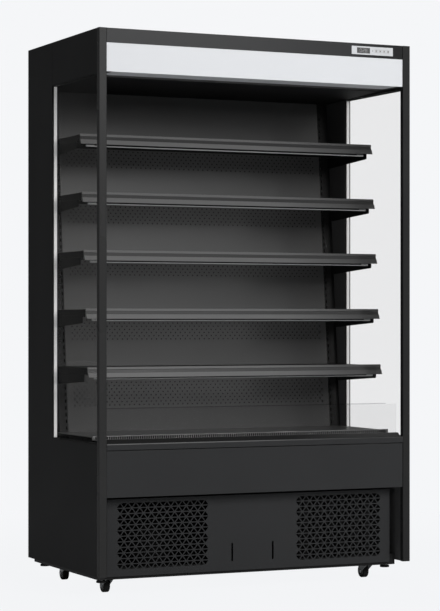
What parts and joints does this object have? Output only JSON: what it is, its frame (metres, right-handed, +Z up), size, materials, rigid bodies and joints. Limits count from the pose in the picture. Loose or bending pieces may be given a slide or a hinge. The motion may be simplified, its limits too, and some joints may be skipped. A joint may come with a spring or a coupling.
{
  "type": "open multideck display fridge",
  "caption": "Tall open-front chilled display cabinet on swivel casters with tiered shelves, glazed sides, lit header and perforated base panel.",
  "frame": {"origin": "on the floor under the middle of the cabinet's box, at the lowest point of the caster wheels", "axes": "+X to the right of someone facing the open front, +Y from the front to the back, +Z up"},
  "size_m": [1.25, 0.725, 2],
  "materials": {
    "wall_paint": "dark charcoal powder coat, fine texture, satin",
    "post_paint": "charcoal powder coat, satin",
    "front_paint": "charcoal powder coat, satin",
    "inner_paint": "dark grey powder coat, satin",
    "canopy_paint": "grey powder coat, satin",
    "rail_finish": "dark grey satin extrusion",
    "diffuser": "white translucent light box panel",
    "dark_plastic": "black moulded plastic",
    "black_steel": "black painted steel",
    "controller_foil": "silver grey front foil",
    "key_plastic": "light grey key",
    "zinc": "zinc plated steel",
    "rubber": "black rubber",
    "coil_metal": "bare aluminium fins",
    "glass": "clear double glazing"
  },
  "bodies": {
    "cabinet": {"left_side_panel": "wall_paint", "right_side_panel": "wall_paint", "left_header_end": "wall_paint", "right_header_end": "wall_paint", "back_wall": "wall_paint", "roof_panel": "wall_paint", "left_front_post": "post_paint", "right_front_post": "post_paint", "header_fascia": "front_paint", "front_ledge": "front_paint", "mid_front_panel": "front_paint", "lower_grille_panel": "front_paint", "insulated_tub": "inner_paint", "deck_pan": "inner_paint", "lower_duct_panel": "inner_paint", "upper_duct_panel": "inner_paint", "left_upright": "inner_paint", "right_upright": "inner_paint", "shelf_1": "inner_paint", "shelf_2": "inner_paint", "shelf_3": "inner_paint", "shelf_4": "inner_paint", "shelf_5": "inner_paint", "canopy_panel": "canopy_paint", "price_rail_1": "rail_finish", "price_rail_2": "rail_finish", "price_rail_3": "rail_finish", "price_rail_4": "rail_finish", "price_rail_5": "rail_finish", "light_box_panel": "diffuser", "air_outlet_honeycomb": "dark_plastic", "return_air_grille": "dark_plastic", "chassis": "black_steel", "compressor": "black_steel", "controller": "controller_foil", "condenser": "coil_metal", "evaporator": "coil_metal", "left_outer_pane": "glass", "left_inner_pane": "glass", "right_outer_pane": "glass", "right_inner_pane": "glass"},
    "front_left_fork": {"front_left_caster_fork": "zinc"},
    "front_left_wheel": {"front_left_caster_wheel": "rubber"},
    "front_left_foot": {"front_left_foot": "rubber"},
    "front_right_fork": {"front_right_caster_fork": "zinc"},
    "front_right_wheel": {"front_right_caster_wheel": "rubber"},
    "front_right_foot": {"front_right_foot": "rubber"},
    "rear_left_fork": {"rear_left_caster_fork": "zinc"},
    "rear_left_wheel": {"rear_left_caster_wheel": "rubber"},
    "rear_left_foot": {"rear_left_foot": "rubber"},
    "rear_right_fork": {"rear_right_caster_fork": "zinc"},
    "rear_right_wheel": {"rear_right_caster_wheel": "rubber"},
    "rear_right_foot": {"rear_right_foot": "rubber"},
    "key_1": {"key_1": "key_plastic"},
    "key_2": {"key_2": "key_plastic"},
    "key_3": {"key_3": "key_plastic"},
    "key_4": {"key_4": "key_plastic"},
    "condenser_fan": {"condenser_fan": "dark_plastic"},
    "left_evaporator_fan": {"left_evaporator_fan": "dark_plastic"},
    "right_evaporator_fan": {"right_evaporator_fan": "dark_plastic"}
  },
  "joints": [
    {"name": "front_left_swivel", "type": "hinge", "parent": "cabinet", "child": "front_left_fork", "pos_m": [-0.528, -0.2045, 0.06], "axis": [0, 0, 1], "continuous": true},
    {"name": "front_left_roll", "type": "hinge", "parent": "front_left_fork", "child": "front_left_wheel", "pos_m": [-0.528, -0.1765, 0.025], "axis": [1, 0, 0], "continuous": true},
    {"name": "front_left_foot_screw", "type": "slide", "parent": "cabinet", "child": "front_left_foot", "axis": [0, 0, -1], "range_m": [0, 0.045]},
    {"name": "front_right_swivel", "type": "hinge", "parent": "cabinet", "child": "front_right_fork", "pos_m": [0.528, -0.2045, 0.06], "axis": [0, 0, 1], "continuous": true},
    {"name": "front_right_roll", "type": "hinge", "parent": "front_right_fork", "child": "front_right_wheel", "pos_m": [0.528, -0.1765, 0.025], "axis": [1, 0, 0], "continuous": true},
    {"name": "front_right_foot_screw", "type": "slide", "parent": "cabinet", "child": "front_right_foot", "axis": [0, 0, -1], "range_m": [0, 0.045]},
    {"name": "rear_left_swivel", "type": "hinge", "parent": "cabinet", "child": "rear_left_fork", "pos_m": [-0.528, 0.2045, 0.06], "axis": [0, 0, 1], "continuous": true},
    {"name": "rear_left_roll", "type": "hinge", "parent": "rear_left_fork", "child": "rear_left_wheel", "pos_m": [-0.528, 0.2325, 0.025], "axis": [1, 0, 0], "continuous": true},
    {"name": "rear_left_foot_screw", "type": "slide", "parent": "cabinet", "child": "rear_left_foot", "axis": [0, 0, -1], "range_m": [0, 0.045]},
    {"name": "rear_right_swivel", "type": "hinge", "parent": "cabinet", "child": "rear_right_fork", "pos_m": [0.528, 0.2045, 0.06], "axis": [0, 0, 1], "continuous": true},
    {"name": "rear_right_roll", "type": "hinge", "parent": "rear_right_fork", "child": "rear_right_wheel", "pos_m": [0.528, 0.2325, 0.025], "axis": [1, 0, 0], "continuous": true},
    {"name": "rear_right_foot_screw", "type": "slide", "parent": "cabinet", "child": "rear_right_foot", "axis": [0, 0, -1], "range_m": [0, 0.045]},
    {"name": "key_1_press", "type": "slide", "parent": "cabinet", "child": "key_1", "axis": [0, 1, 0], "range_m": [0, 0.0008], "stiffness_N_per_m": 800, "springref_m": -0.0005},
    {"name": "key_2_press", "type": "slide", "parent": "cabinet", "child": "key_2", "axis": [0, 1, 0], "range_m": [0, 0.0008], "stiffness_N_per_m": 800, "springref_m": -0.0005},
    {"name": "key_3_press", "type": "slide", "parent": "cabinet", "child": "key_3", "axis": [0, 1, 0], "range_m": [0, 0.0008], "stiffness_N_per_m": 800, "springref_m": -0.0005},
    {"name": "key_4_press", "type": "slide", "parent": "cabinet", "child": "key_4", "axis": [0, 1, 0], "range_m": [0, 0.0008], "stiffness_N_per_m": 800, "springref_m": -0.0005},
    {"name": "condenser_fan_spin", "type": "hinge", "parent": "cabinet", "child": "condenser_fan", "pos_m": [0.355, -0.1825, 0.1958], "axis": [0, 1, 0], "continuous": true},
    {"name": "left_evaporator_fan_spin", "type": "hinge", "parent": "cabinet", "child": "left_evaporator_fan", "pos_m": [-0.26, -0.2155, 0.4483], "axis": [0, 1, 0], "continuous": true},
    {"name": "right_evaporator_fan_spin", "type": "hinge", "parent": "cabinet", "child": "right_evaporator_fan", "pos_m": [0.26, -0.2155, 0.4483], "axis": [0, 1, 0], "continuous": true}
  ]
}
